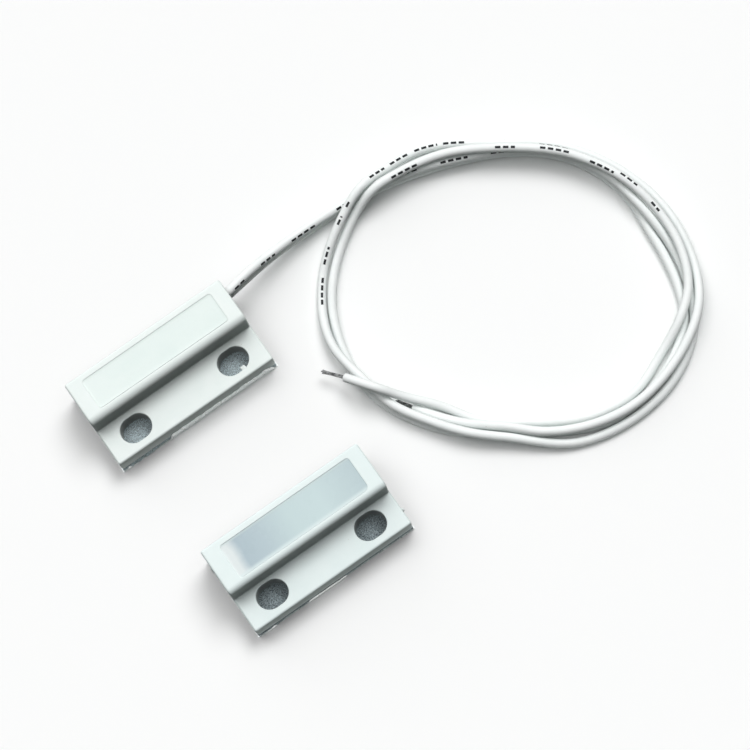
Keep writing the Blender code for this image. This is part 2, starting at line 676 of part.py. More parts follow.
def main():
    for old in list(bpy.data.objects):
        bpy.data.objects.remove(old)
    parts = new_collection("magnetic_door_contact")
    cutters = new_collection("cutters")
    looks = {
        "housing": new_material("white_plastic", (0.86, 0.88, 0.87), 0.35),
        "switch potting": new_material("white_potting", (0.80, 0.83, 0.81), 0.25),
        "magnet potting": new_material("clear_potting", (0.66, 0.70, 0.71), 0.2),
        "foam": new_material("foam", (0.45, 0.46, 0.46), 0.9),
        "liner": new_material("release_film", (0.80, 0.81, 0.80), 0.4),
        "magnet": new_material("magnet", (0.20, 0.22, 0.24), 0.5, metallic=0.3),
        "glass": new_material("reed_glass", (0.75, 0.85, 0.80), 0.05, alpha=0.4),
        "reed": new_material("reed_metal", (0.62, 0.60, 0.56), 0.3, metallic=1.0),
        "solder": new_material("solder", (0.66, 0.66, 0.66), 0.35, metallic=1.0),
        "tinned": new_material("tinned_copper", (0.70, 0.70, 0.68), 0.35, metallic=1.0),
        "insulation": new_material("wire_insulation", (0.85, 0.86, 0.85), 0.4),
    }
    switch_half(looks, parts, cutters)
    magnet_half(looks, parts, cutters)


main()
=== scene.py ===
import math
import random

import bmesh
import bpy
import numpy as np
from mathutils import Matrix, Vector, noise


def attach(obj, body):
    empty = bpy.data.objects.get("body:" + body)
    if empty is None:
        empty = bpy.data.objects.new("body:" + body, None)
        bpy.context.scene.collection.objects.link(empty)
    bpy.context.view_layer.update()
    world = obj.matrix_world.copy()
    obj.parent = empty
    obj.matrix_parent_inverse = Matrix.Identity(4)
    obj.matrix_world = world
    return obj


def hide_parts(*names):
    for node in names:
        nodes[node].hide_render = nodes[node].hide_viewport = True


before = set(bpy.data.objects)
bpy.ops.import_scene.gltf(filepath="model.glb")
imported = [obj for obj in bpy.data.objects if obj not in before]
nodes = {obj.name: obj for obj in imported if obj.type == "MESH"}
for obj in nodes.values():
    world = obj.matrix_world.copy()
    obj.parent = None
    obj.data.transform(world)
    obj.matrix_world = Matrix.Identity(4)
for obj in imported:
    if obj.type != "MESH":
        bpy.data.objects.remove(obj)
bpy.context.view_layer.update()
random.seed(7)
mm = 0.001
print("frame loaded,", len(nodes), "solids")


# Camera and light

shot = {
    "at": (-0.005508, -0.106764, 0.438105),
    "look": (0.0651, 0.2352, -0.9698),
    "up": (0.5692, 0.7895, 0.2296),
    "lens": 144.1,
}

studio = {
    # each lamp: where its light comes from, strength, apparent size in degrees
    "lamps": {
        "lampMain": ((0.46, 0.28, 0.84), 1.36, 30),
        "lampBack": ((-0.05, 0.76, 0.65), 0.95, 60),
        "lampTop": ((0.00, 0.16, 1.00), 1.36, 68),
    },
    "roomLight": 0.010,
    "floorReach": 2.5,
    "floorDrop": 0.00002,
    "floorColour": (0.972, 0.978, 0.975),
    # the floor as bounced light sees it: right beside what lies on it, and further off
    "floorBeside": (0.92, 0.95, 0.94),
    "floorBounce": (0.09, 0.105, 0.10),
    "besideReach": (0.002, 0.008),
}


def makeCamera():
    data = bpy.data.cameras.new("photoCamera")
    data.sensor_width = 36
    data.lens = shot["lens"]
    data.clip_start = 0.01
    data.clip_end = 20
    camera = bpy.data.objects.new("photoCamera", data)
    bpy.context.scene.collection.objects.link(camera)
    back = -Vector(shot["look"]).normalized()
    right = Vector(shot["up"]).cross(back).normalized()
    turn = Matrix((right, back.cross(right), back)).transposed().to_4x4()
    camera.matrix_world = Matrix.Translation(shot["at"]) @ turn
    bpy.context.scene.camera = camera


def makeLamps():
    for name, (direction, strength, size) in studio["lamps"].items():
        data = bpy.data.lights.new(name, "SUN")
        data.energy = strength
        data.angle = math.radians(size)
        lamp = bpy.data.objects.new(name, data)
        lamp.rotation_mode = "QUATERNION"
        lamp.rotation_quaternion = Vector(direction).to_track_quat("Z", "Y")
        lamp.location = Vector(direction)
        bpy.context.scene.collection.objects.link(lamp)


def directView(tree):
    # 1 for rays of the camera, of mirrors and of glass, 0 for light that bounces about
    path = tree.nodes.new("ShaderNodeLightPath")
    seen = mathNode(tree, "MAXIMUM", path.outputs["Is Camera Ray"], path.outputs["Is Glossy Ray"])
    return mathNode(tree, "MAXIMUM", seen, path.outputs["Is Transmission Ray"])


def makeRoom():
    bpy.context.scene.view_settings.view_transform = "Standard"
    world = bpy.data.worlds.new("studioRoom")
    bpy.context.scene.world = world
    world.use_nodes = True
    tree = world.node_tree
    background = tree.nodes["Background"]
    background.inputs["Color"].default_value = (1, 1, 1, 1)
    level = rangeNode(tree, directView(tree), (0.0, 1.0), (studio["roomLight"], 1.0))
    tree.links.new(level, background.inputs["Strength"])

    shape = bmesh.new()
    bmesh.ops.create_grid(shape, x_segments=1, y_segments=1, size=studio["floorReach"])
    floor = newObject("tableTop", shape, None)
    floor.location.z = -studio["floorDrop"]
    material = bpy.data.materials.new("paleTable")
    material.use_nodes = True
    tree = material.node_tree
    shader = tree.nodes["Principled BSDF"]
    shader.inputs["Roughness"].default_value = 0.9
    shader.inputs["Specular IOR Level"].default_value = 0.0
    path = tree.nodes.new("ShaderNodeLightPath")
    away = rangeNode(tree, path.outputs["Ray Length"], studio["besideReach"], (0.0, 1.0), smooth=True)
    bounced = mixColours(tree, away, studio["floorBeside"], studio["floorBounce"])
    colour = mixColours(tree, directView(tree), bounced, studio["floorColour"])
    tree.links.new(colour, shader.inputs["Base Color"])
    floor.data.materials.append(material)


# Small helpers for meshes

def newObject(name, shape, material):
    mesh = bpy.data.meshes.new(name)
    shape.to_mesh(mesh)
    shape.free()
    piece = bpy.data.objects.new(name, mesh)
    if material:
        mesh.materials.append(material)
    bpy.context.scene.collection.objects.link(piece)
    return piece


def finishPiece(piece, body, replaced=()):
    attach(piece, body)
    if replaced:
        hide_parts(*replaced)
    return piece


def smoothPiece(piece, degrees=35):
    piece.data.shade_smooth()
    piece.data.set_sharp_from_angle(angle=math.radians(degrees))
    return piece


def weighNormals(piece):
    # keeps big flats flat and the light on the small rounded edges
    modifier = piece.modifiers.new("crispEdges", "WEIGHTED_NORMAL")
    modifier.keep_sharp = True
    modifier.weight = 60


def solidMesh(piece):
    # the mesh with its modifiers worked in
    bpy.context.view_layer.update()
    graph = bpy.context.evaluated_depsgraph_get()
    mesh = bpy.data.meshes.new_from_object(piece.evaluated_get(graph))
    piece.modifiers.clear()
    old = piece.data
    piece.data = mesh
    bpy.data.meshes.remove(old)


def smoothRoute(points, count, lowest):
    # even points on a smooth curve through the route, the same curve as the solids follow
    route = np.array(points, dtype=float)
    length = np.linalg.norm(np.diff(route, axis=0), axis=1)
    slope = np.diff(route, axis=0) / length[:, None]
    tangent = np.empty_like(route)
    before = slope[:-1] * length[1:, None]
    after = slope[1:] * length[:-1, None]
    tangent[1:-1] = (before + after) / (length[1:] + length[:-1])[:, None]
    tangent[0] = 2 * slope[0] - tangent[1]
    tangent[-1] = 2 * slope[-1] - tangent[-2]
    u = np.linspace(0, 1, 40, endpoint=False)[:, None]     # steps between two route points
    spans = []
    for k in range(len(length)):
        spans.append(
            (2 * u**3 - 3 * u**2 + 1) * route[k]
            + (u**3 - 2 * u**2 + u) * length[k] * tangent[k]
            + (3 * u**2 - 2 * u**3) * route[k + 1]
            + (u**3 - u**2) * length[k] * tangent[k + 1]
        )
    fine = np.vstack([*spans, route[-1:]])
    travelled = np.concatenate([[0], np.cumsum(np.linalg.norm(np.diff(fine, axis=0), axis=1))])
    stops = np.linspace(0, travelled[-1], count)
    even = np.column_stack([np.interp(stops, travelled, fine[:, axis]) for axis in range(3)])
    even[:, 2] = np.maximum(even[:, 2], lowest)
    return [Vector(point) for point in even]


def pathFrames(path):
    # each point with its direction, the level side of it and what is up from there
    made = []
    for i, point in enumerate(path):
        ahead = (path[min(i + 1, len(path) - 1)] - path[max(i - 1, 0)]).normalized()
        side = ahead.cross(Vector((0, 0, 1))).normalized()
        made.append((point, ahead, side, side.cross(ahead)))
    return made


def ringAt(shape, centre, side, up, radius, count):
    ring = []
    for i in range(count):
        turn = 2 * math.pi * i / count
        ring.append(shape.verts.new(centre + side * radius * math.sin(turn) + up * radius * math.cos(turn)))
    return ring


def joinRings(shape, rings):
    # skins the rings in turn and closes both ends
    for ring, following in zip(rings, rings[1:]):
        for i in range(len(ring)):
            after = (i + 1) % len(ring)
            shape.faces.new((ring[i], ring[after], following[after], following[i]))
    shape.faces.new(rings[0])
    shape.faces.new(reversed(rings[-1]))


# Small helpers for shader nodes

def feed(tree, socket, value):
    # joins the socket to another one, or sets a plain value on it
    if isinstance(value, bpy.types.NodeSocket):
        tree.links.new(value, socket)
    else:
        socket.default_value = value


def mathNode(tree, operation, *values):
    node = tree.nodes.new("ShaderNodeMath")
    node.operation = operation
    for socket, value in zip(node.inputs, values):
        feed(tree, socket, value)
    return node.outputs[0]


def rangeNode(tree, value, source, target, smooth=False):
    # moves a value from one range to another
    node = tree.nodes.new("ShaderNodeMapRange")
    if smooth:
        node.interpolation_type = "SMOOTHSTEP"
    for name, limit in zip(("From Min", "From Max", "To Min", "To Max"), (*source, *target)):
        node.inputs[name].default_value = limit
    tree.links.new(value, node.inputs["Value"])
    return node.outputs["Result"]


def mixColours(tree, mask, first, second):
    # first and second are plain colours or sockets
    mix = tree.nodes.new("ShaderNodeMix")
    mix.data_type = "RGBA"
    tree.links.new(mask, mix.inputs["Factor"])
    for name, value in (("A", first), ("B", second)):
        feed(tree, mix.inputs[name], (*value, 1) if isinstance(value, tuple) else value)
    return mix.outputs["Result"]


# Finishes: two effects that the materials share, each a node group

def addSockets(group, inputs, outputs):
    for name, kind, value in inputs:
        socket = group.interface.new_socket(name=name, in_out="INPUT", socket_type=kind)
        if value is not None:
            socket.default_value = value
    for name, kind in outputs:
        group.interface.new_socket(name=name, in_out="OUTPUT", socket_type=kind)


def fineGrainGroup():
    # fine moulded grain and slow waves, put out as a height, and blotches as a mask
    group = bpy.data.node_groups.new("fineGrain", "ShaderNodeTree")
    addSockets(
        group,
        [
            ("Vector", "NodeSocketVector", None),
            ("Grain Scale", "NodeSocketFloat", 9000.0),
            ("Wave Scale", "NodeSocketFloat", 500.0),
            ("Wave Share", "NodeSocketFloat", 0.7),
            ("Blotch Scale", "NodeSocketFloat", 260.0),
        ],
        [("Height", "NodeSocketFloat"), ("Blotches", "NodeSocketFloat")],
    )
    source = group.nodes.new("NodeGroupInput")
    result = group.nodes.new("NodeGroupOutput")
    grain = group.nodes.new("ShaderNodeTexNoise")
    grain.inputs["Detail"].default_value = 3
    waves = group.nodes.new("ShaderNodeTexNoise")
    waves.inputs["Detail"].default_value = 2
    blotches = group.nodes.new("ShaderNodeTexNoise")
    blotches.inputs["Detail"].default_value = 4
    blotches.inputs["Roughness"].default_value = 0.6
    for node, scale in ((grain, "Grain Scale"), (waves, "Wave Scale"), (blotches, "Blotch Scale")):
        group.links.new(source.outputs["Vector"], node.inputs["Vector"])
        group.links.new(source.outputs[scale], node.inputs["Scale"])
    height = group.nodes.new("ShaderNodeMix")
    group.links.new(source.outputs["Wave Share"], height.inputs["Factor"])
    group.links.new(grain.outputs["Fac"], height.inputs["A"])
    group.links.new(waves.outputs["Fac"], height.inputs["B"])
    spread = rangeNode(group, blotches.outputs["Fac"], (0.35, 0.65), (0.0, 1.0))
    group.links.new(height.outputs["Result"], result.inputs["Height"])
    group.links.new(spread, result.inputs["Blotches"])
    return group


def specksGroup():
    # scattered small specks as a mask, for dust, pits and flecks
    group = bpy.data.node_groups.new("specks", "ShaderNodeTree")
    addSockets(
        group,
        [
            ("Vector", "NodeSocketVector", None),
            ("Scale", "NodeSocketFloat", 1500.0),
            ("Size", "NodeSocketFloat", 0.12),
            ("Rarity", "NodeSocketFloat", 0.8),
        ],
        [("Mask", "NodeSocketFloat")],
    )
    source = group.nodes.new("NodeGroupInput")
    result = group.nodes.new("NodeGroupOutput")
    cells = group.nodes.new("ShaderNodeTexVoronoi")
    group.links.new(source.outputs["Vector"], cells.inputs["Vector"])
    group.links.new(source.outputs["Scale"], cells.inputs["Scale"])
    draw = group.nodes.new("ShaderNodeSeparateColor")
    group.links.new(cells.outputs["Color"], draw.inputs["Color"])
    near = mathNode(group, "LESS_THAN", cells.outputs["Distance"], source.outputs["Size"])
    rare = mathNode(group, "GREATER_THAN", draw.outputs["Red"], source.outputs["Rarity"])
    group.links.new(mathNode(group, "MULTIPLY", near, rare), result.inputs["Mask"])
    return group


def placeGroup(tree, group, values):
    node = tree.nodes.new("ShaderNodeGroup")
    node.node_tree = group
    place = tree.nodes.new("ShaderNodeTexCoord")
    tree.links.new(place.outputs["Object"], node.inputs["Vector"])
    for name, value in values.items():
        node.inputs[name].default_value = value
    return node


def finish(name, look):
    # one surface: two close tones in blotches, specks, uneven gloss and a fine grain
    material = bpy.data.materials.new(name)
    material.use_nodes = True
    tree = material.node_tree
    shader = tree.nodes["Principled BSDF"]
    for socket, value in look.get("plain", {}).items():
        shader.inputs[socket].default_value = value
    grain = placeGroup(tree, fineGrain, look["grain"])
    colour = mixColours(tree, grain.outputs["Blotches"], look["tone"], look["otherTone"])
    if "specks" in look:
        dots = placeGroup(tree, specks, look["specks"])
        colour = mixColours(tree, dots.outputs["Mask"], colour, look["speckTone"])
    if "bounceTone" in look:
        # light that has bounced off it loses more: deep shade between white faces
        path = tree.nodes.new("ShaderNodeLightPath")
        colour = mixColours(tree, path.outputs["Is Diffuse Ray"], colour, look["bounceTone"])
    tree.links.new(colour, shader.inputs["Base Color"])
    gloss = rangeNode(tree, grain.outputs["Blotches"], (0.0, 1.0), look["roughness"])
    tree.links.new(gloss, shader.inputs["Roughness"])
    bump = tree.nodes.new("ShaderNodeBump")
    bump.inputs["Strength"].default_value = look["bump"]
    bump.inputs["Distance"].default_value = look.get("depth", 0.00003)
    tree.links.new(grain.outputs["Height"], bump.inputs["Height"])
    tree.links.new(bump.outputs["Normal"], shader.inputs["Normal"])
    return material


fineGrain = fineGrainGroup()
specks = specksGroup()

looks = {
    "whitePlastic": {
        "tone": (0.896, 0.960, 0.938),
        "otherTone": (0.862, 0.936, 0.911),
        "speckTone": (0.70, 0.69, 0.64),
        "bounceTone": (0.015, 0.026, 0.022),
        "roughness": (0.30, 0.42),
        "bump": 0.25,
        "grain": {"Grain Scale": 7000.0, "Wave Scale": 420.0, "Wave Share": 0.6, "Blotch Scale": 240.0},
        "specks": {"Scale": 900.0, "Size": 0.05, "Rarity": 0.93},
        "plain": {"IOR": 1.49, "Specular IOR Level": 0.04},
    },
    # the same white plastic as whitePlastic, its tones painted darker: painted shade for the dimmer light
    # on the magnet half
    "shadedMagnetPlastic": {
        "tone": (0.850, 0.938, 0.928),
        "otherTone": (0.820, 0.915, 0.905),
        "speckTone": (0.62, 0.62, 0.58),
        "bounceTone": (0.010, 0.018, 0.016),
        "roughness": (0.30, 0.42),
        "bump": 0.25,
        "grain": {"Grain Scale": 7000.0, "Wave Scale": 450.0, "Wave Share": 0.6, "Blotch Scale": 250.0},
        "specks": {"Scale": 950.0, "Size": 0.05, "Rarity": 0.93},
        "plain": {"IOR": 1.49, "Specular IOR Level": 0.04},
    },
    "wireJacket": {
        "tone": (0.932, 0.976, 0.964),
        "otherTone": (0.898, 0.944, 0.930),
        "speckTone": (0.62, 0.62, 0.58),
        "bounceTone": (0.66, 0.72, 0.70),
        "roughness": (0.30, 0.45),
        "bump": 0.3,
        "grain": {"Grain Scale": 5200.0, "Wave Scale": 900.0, "Wave Share": 0.5, "Blotch Scale": 320.0},
        "specks": {"Scale": 1100.0, "Size": 0.07, "Rarity": 0.93},
        "plain": {
            "IOR": 1.5, "Specular IOR Level": 0.1, "Subsurface Weight": 0.35,
            "Subsurface Radius": (1.0, 1.0, 1.0), "Subsurface Scale": 0.0004,
        },
    },
    "printInk": {
        "tone": (0.012, 0.013, 0.014),
        "otherTone": (0.045, 0.048, 0.052),
        "roughness": (0.45, 0.65),
        "bump": 0.2,
        "grain": {"Grain Scale": 9000.0, "Wave Scale": 2000.0, "Wave Share": 0.5, "Blotch Scale": 2600.0},
        "plain": {"Specular IOR Level": 0.1},
    },
    "tinnedCopper": {
        "tone": (0.34, 0.35, 0.35),
        "otherTone": (0.04, 0.04, 0.04),
        "roughness": (0.26, 0.42),
        "bump": 0.4,
        "grain": {"Grain Scale": 12000.0, "Wave Scale": 2600.0, "Wave Share": 0.5, "Blotch Scale": 2000.0},
        "plain": {"Metallic": 1.0},
    },
    "switchResin": {
        "tone": (0.830, 0.915, 0.885),
        "otherTone": (0.795, 0.890, 0.860),
        "speckTone": (0.60, 0.64, 0.60),
        "bounceTone": (0.12, 0.17, 0.155),
        "roughness": (0.22, 0.34),
        "bump": 0.2,
        "grain": {"Grain Scale": 4000.0, "Wave Scale": 300.0, "Wave Share": 0.85, "Blotch Scale": 180.0},
        "specks": {"Scale": 700.0, "Size": 0.05, "Rarity": 0.93},
        "plain": {"Specular IOR Level": 0.15},
    },
    "padFoam": {
        "tone": (0.76, 0.90, 0.94),
        "otherTone": (0.33, 0.40, 0.425),
        "speckTone": (0.05, 0.06, 0.066),
        "bounceTone": (0.03, 0.035, 0.038),
        "roughness": (0.85, 0.95),
        "bump": 0.8,
        "depth": 0.00006,
        "grain": {"Grain Scale": 14000.0, "Wave Scale": 6500.0, "Wave Share": 0.5, "Blotch Scale": 6000.0},
        "specks": {"Scale": 7500.0, "Size": 0.36, "Rarity": 0.5},
    },
    # the same foam as padFoam, its tones painted darker: painted shade for the dimmer light in the magnet
    # half's slots
    "shadedPadFoam": {
        "tone": (0.51, 0.61, 0.645),
        "otherTone": (0.18, 0.22, 0.235),
        "speckTone": (0.03, 0.036, 0.04),
        "bounceTone": (0.02, 0.025, 0.028),
        "roughness": (0.85, 0.95),
        "bump": 0.8,
        "depth": 0.00006,
        "grain": {"Grain Scale": 14000.0, "Wave Scale": 6500.0, "Wave Share": 0.5, "Blotch Scale": 5000.0},
        "specks": {"Scale": 7000.0, "Size": 0.38, "Rarity": 0.45},
    },
    "releaseFilm": {
        "tone": (0.90, 0.93, 0.92),
        "otherTone": (0.72, 0.76, 0.75),
        "roughness": (0.24, 0.42),
        "bump": 0.6,
        "depth": 0.00006,
        "grain": {"Grain Scale": 5200.0, "Wave Scale": 1500.0, "Wave Share": 0.7, "Blotch Scale": 1400.0},
        "plain": {"Metallic": 0.6},
    },
    "reedMetal": {
        "tone": (0.62, 0.60, 0.56),
        "otherTone": (0.52, 0.50, 0.46),
        "roughness": (0.22, 0.38),
        "bump": 0.3,
        "grain": {"Grain Scale": 15000.0, "Wave Scale": 4000.0, "Wave Share": 0.4, "Blotch Scale": 1200.0},
        "plain": {"Metallic": 1.0},
    },
    "solderMetal": {
        "tone": (0.66, 0.66, 0.66),
        "otherTone": (0.48, 0.48, 0.49),
        "roughness": (0.25, 0.55),
        "bump": 0.5,
        "grain": {"Grain Scale": 8000.0, "Wave Scale": 2000.0, "Wave Share": 0.6, "Blotch Scale": 1800.0},
        "plain": {"Metallic": 1.0},
    },
    "ferrite": {
        "tone": (0.085, 0.088, 0.092),
        "otherTone": (0.055, 0.057, 0.060),
        "speckTone": (0.16, 0.16, 0.17),
        "roughness": (0.45, 0.65),
        "bump": 0.7,
        "grain": {"Grain Scale": 11000.0, "Wave Scale": 1500.0, "Wave Share": 0.3, "Blotch Scale": 900.0},
        "specks": {"Scale": 5000.0, "Size": 0.2, "Rarity": 0.75},
    },
    "reedGlass": {
        "tone": (0.86, 0.95, 0.90),
        "otherTone": (0.80, 0.92, 0.86),
        "roughness": (0.02, 0.06),
        "bump": 0.05,
        "grain": {"Grain Scale": 2000.0, "Wave Scale": 900.0, "Wave Share": 0.8, "Blotch Scale": 500.0},
        "plain": {"Transmission Weight": 1.0, "IOR": 1.5},
    },
}


# Wires. Sizes in metres, but in mm the routes, which are the ones that the solids follow

wire = {
    "radius": 0.0007,
    "sides": 24,
    "count": 420,           # points along the part outside
    "lowest": 0.00072,
    "outlet": (0.0131, 0.0213),
    "gauge": 0.004,         # unevenness of the jacket, as a share of its radius
    "gaugeScale": 700,
    "bore": 0.00036,
    # the cut end: how far past the last point, and the share of the radius or the bore there
    "rim": [(0.00004, 0.985), (0.00006, 0.93)],
    "mouth": [(0.00005, 1.1), (0.0, 1.0), (-0.0005, 0.95)],
}

bareEnd = {
    "strands": 7,
    "sides": 8,
    "points": 46,
    "radius": 0.000098,
    "lowest": 0.000288,
    "root": 0.0004,         # how deep in the bore the strands start
    "straight": 0.0005,     # how far they go straight on
    "bend": 0.4,            # how early they then turn to the tip
    "apart": 0.000185,      # from the middle strand to the others
    "twist": 300.0,         # radians for each metre
    "shortest": 0.93,       # of the length, for the most worn strand
    "looseFrom": 0.75,
    "looseness": (0.4, 0.7, 1.0),
}

wireNear = {
    "innerEnd": 0.0093,
    "height": 0.0054,
    "tip": (0.0175, 0.0042, 0.0021),
    "splay": 0.00016,
    "route": [
        (15.8, 21.9, 4.7), (20.4, 23.0, 2.9), (29.4, 23.8, 0.8), (37.5, 23.5, 0.7),
        (54.5, 18.9, 0.7), (58.6, 17.0, 0.7), (67.2, 9.6, 0.7), (70.6, 0.8, 0.7),
        (70.2, -7.3, 0.7), (69.8, -10.9, 0.7), (66.4, -20.7, 0.7), (57.2, -26.4, 0.7),
        (48.6, -27.0, 0.7), (37.0, -21.1, 0.7), (26.5, -12.3, 0.7), (22.0, -3.5, 0.7),
        (21.7, 2.5, 0.7), (25.0, 12.4, 0.7), (32.6, 19.8, 1.2), (36.2, 21.7, 2.0),
        (40.3, 22.5, 3.9), (44.2, 22.4, 3.8), (51.6, 20.9, 3.6), (58.8, 16.8, 3.8),
        (67.5, 9.0, 3.8), (71.5, 1.4, 3.6), (72.8, -5.3, 2.5), (72.1, -12.1, 2.2),
        (69.3, -17.7, 2.3), (65.9, -20.5, 2.3), (60.9, -22.9, 1.0), (53.2, -25.6, 0.7),
        (48.3, -25.2, 0.7), (37.9, -19.8, 0.7), (32.2, -15.0, 0.7), (29.2, -10.6, 1.3),
        (24.9, -5.8, 2.6), (22.8, -3.4, 4.2), (19.9, 1.0, 2.9),
    ],
    # runs of printed dashes: from, to in mm along the wire outside, turn round it in degrees
    "print": [
        (57.0, 61.2, -20), (64.6, 68.6, -15), (186.0, 190.6, 30), (202.8, 206.0, 10),
        (209.6, 214.2, 0), (217.5, 221.6, 20), (222.4, 225.5, -25), (228.7, 230.6, 0),
    ],
}

wireFar = {
    "innerEnd": -0.0079,
    "height": 0.0069,
    "tip": (0.0241, -0.0059, 0.00145),
    "splay": 0.00010,
    "route": [
        (16.3, 22.1, 6.2), (22.4, 23.3, 3.9), (31.5, 23.8, 2.3), (38.7, 23.4, 2.2),
        (53.7, 19.1, 2.3), (65.9, 11.2, 2.3), (70.0, 3.9, 2.3), (71.1, -2.0, 2.2),
        (71.5, -7.6, 1.5), (71.3, -12.3, 0.7), (69.9, -17.2, 0.8), (67.3, -22.1, 0.7),
        (60.9, -26.9, 0.7), (50.8, -28.7, 0.7), (42.9, -27.0, 0.8), (34.3, -20.3, 2.0),
        (30.3, -16.7, 2.4), (26.3, -11.5, 2.2), (23.2, -6.1, 2.2), (21.9, -0.2, 2.2),
        (21.1, 5.9, 2.1), (25.9, 16.3, 0.7), (33.5, 21.8, 3.0), (38.3, 23.8, 4.0),
        (43.1, 24.5, 2.3), (49.2, 24.3, 0.9), (59.7, 18.2, 0.7), (66.6, 12.9, 0.7),
        (72.7, 2.7, 0.7), (74.2, -6.8, 0.8), (73.5, -11.8, 0.7), (69.4, -20.3, 2.1),
        (60.5, -25.8, 2.3), (52.1, -27.3, 2.3), (45.9, -26.2, 2.3), (39.2, -22.8, 2.3),
        (35.3, -19.1, 2.2), (30.4, -14.7, 1.7), (25.7, -8.2, 0.7),
    ],
    "print": [
        (0.6, 3.2, 60), (6.3, 9.4, 55), (12.8, 17.5, 50), (21.4, 23.4, 30),
        (28.9, 31.2, 15), (33.1, 35.3, 10), (38.9, 43.2, 20), (46.7, 50.0, 20),
        (167.7, 172.7, 10), (174.3, 177.3, 0), (180.7, 182.3, 0), (183.7, 185.1, 0),
        (189.2, 192.4, 0), (193.4, 196.9, 0), (197.9, 201.8, 0), (202.6, 206.2, 0),
        (210.4, 213.8, 35), (217.3, 222.3, 40),
    ],
}

printing = {
    "dash": 0.84,
    "gap": 0.36,
    "shortest": 0.3,
    "rowStep": 0.21,
    "across": 4,
    "halfWidth": 15,        # degrees round the wire
    "lift": 0.000006,
}


def wirePath(own):
    x, y = wire["outlet"]
    start = (x, y, own["height"])
    route = [tuple(c * mm for c in point) for point in own["route"]]
    outside = smoothRoute([start, *route], wire["count"], wire["lowest"])
    inside = [Vector((own["innerEnd"], y, own["height"]))]
    steps = max(2, round((x - own["innerEnd"]) / mm))
    inside += [inside[0].lerp(Vector(start), i / steps) for i in range(1, steps)]
    return inside + outside, outside


def wireJacket(label, own):
    path, outside = wirePath(own)
    shape = bmesh.new()
    rings = []
    for point, ahead, side, up in pathFrames(path):
        gauge = wire["gauge"] * noise.noise(point * wire["gaugeScale"])
        radius = wire["radius"] * (1 - wire["gauge"] + gauge)
        rings.append(ringAt(shape, point, side, up, radius, wire["sides"]))
    # a rounded rim, then the mouth and the bore that the strands come out of
    ends = [(reach, share * wire["radius"]) for reach, share in wire["rim"]]
    ends += [(reach, share * wire["bore"]) for reach, share in wire["mouth"]]
    for reach, radius in ends:
        rings.append(ringAt(shape, point + ahead * reach, side, up, radius, wire["sides"]))
    joinRings(shape, rings)
    piece = smoothPiece(newObject("wireJacket" + label, shape, materials["wireJacket"]), 60)
    return piece, path, outside


def twistedEnd(label, own, path):
    # thin strands twisted round a middle one, a little apart at the tip
    point, ahead = pathFrames(path)[-1][:2]
    start = point - ahead * bareEnd["root"]
    bend = point + ahead * bareEnd["straight"]
    tip = Vector(own["tip"])
    stops = [start, point, bend, tip.lerp(bend, bareEnd["bend"]), tip]
    line = smoothRoute(stops, bareEnd["points"], bareEnd["lowest"])
    reach = (tip - start).length
    looseFrom = bareEnd["looseFrom"]
    shape = bmesh.new()
    for k in range(bareEnd["strands"]):
        ends = random.uniform(bareEnd["shortest"], 1.0) if k else 1.0
        around = 2 * math.pi * k / (bareEnd["strands"] - 1)
        strand = []
        for i, (place, along, across, over) in enumerate(pathFrames(line)):
            share = i / (len(line) - 1)
            if share > ends:
                break
            turn = around + bareEnd["twist"] * reach * share
            free = max(0, share - looseFrom) / (1 - looseFrom) * bareEnd["looseness"][k % 3]
            off = bareEnd["apart"] + own["splay"] * free if k else 0
            strand.append(place + (across * math.sin(turn) + over * math.cos(turn)) * off)
        joinRings(shape, [
            ringAt(shape, place, across, over, bareEnd["radius"], bareEnd["sides"])
            for place, along, across, over in pathFrames(strand)
        ])
    piece = smoothPiece(newObject("strands" + label, shape, materials["tinnedCopper"]))
    return finishPiece(piece, "switch_half", ["tinned_end_" + label.lower()])


def printedDashes(label, own, outside):
    # short plain dashes along the jacket, as thin patches of ink
    step = (outside[1] - outside[0]).length
    frames = pathFrames(outside)
    across = printing["across"]
    shape = bmesh.new()

    def patch(start, end, turn):
        rows = []
        for stop in np.arange(start, end + 0.01, printing["rowStep"]):
            index = stop * mm / step
            low = min(int(index), len(frames) - 2)
            pairs = zip(frames[low], frames[low + 1])
            point, ahead, side, up = [a.lerp(b, index - low) for a, b in pairs]
            side.normalize()
            up.normalize()
            row = []
            for k in range(across + 1):
                angle = math.radians(turn + printing["halfWidth"] * (2 * k / across - 1))
                out = side * math.sin(angle) + up * math.cos(angle)
                row.append(shape.verts.new(point + out * (wire["radius"] + printing["lift"])))
            rows.append(row)
        for row, following in zip(rows, rows[1:]):
            for k in range(across):
                shape.faces.new((row[k], following[k], following[k + 1], row[k + 1]))

    for start, end, turn in own["print"]:
        at = start
        while at + printing["shortest"] < end:
            patch(at, min(at + printing["dash"], end), turn)
            at += printing["dash"] + printing["gap"]
    bmesh.ops.recalc_face_normals(shape, faces=shape.faces)
    piece = smoothPiece(newObject("printedDashes" + label, shape, materials["printInk"]))
    return finishPiece(piece, "switch_half")


def makeWires():
    for label, own in (("Near", wireNear), ("Far", wireFar)):
        piece, path, outside = wireJacket(label, own)
        finishPiece(piece, "switch_half", ["wire_" + label.lower()])
        strands = twistedEnd(label, own, path)
        dashes = printedDashes(label, own, outside)


# Moulded blocks. Sizes in mm, from the middle of each footprint: X along it, Y to its back

blockShape = {
    "length": 28.0,
    "width": 13.8,
    "bottom": 1.0,
    "flangeTop": 4.5,
    "barTop": 9.0,
    "tubFloor": 2.2,
    "edgeRound": 0.36,
    "footRound": 0.25,
    "slotSize": (5.0, 4.0),
    "slotSpacing": 17.6,
    "slotFromFront": 3.25,
    "slotRound": 0.16,
    "rimRound": 0.12,
    "outletRound": 0.07,
    "draft": 0.05,
    "tubFoot": 0.99,        # the tub's foot, as a share of where its cutter ends
    "tubCutPast": 5.0,
    "cutPast": 3.0,
    "weld": 0.002,
}

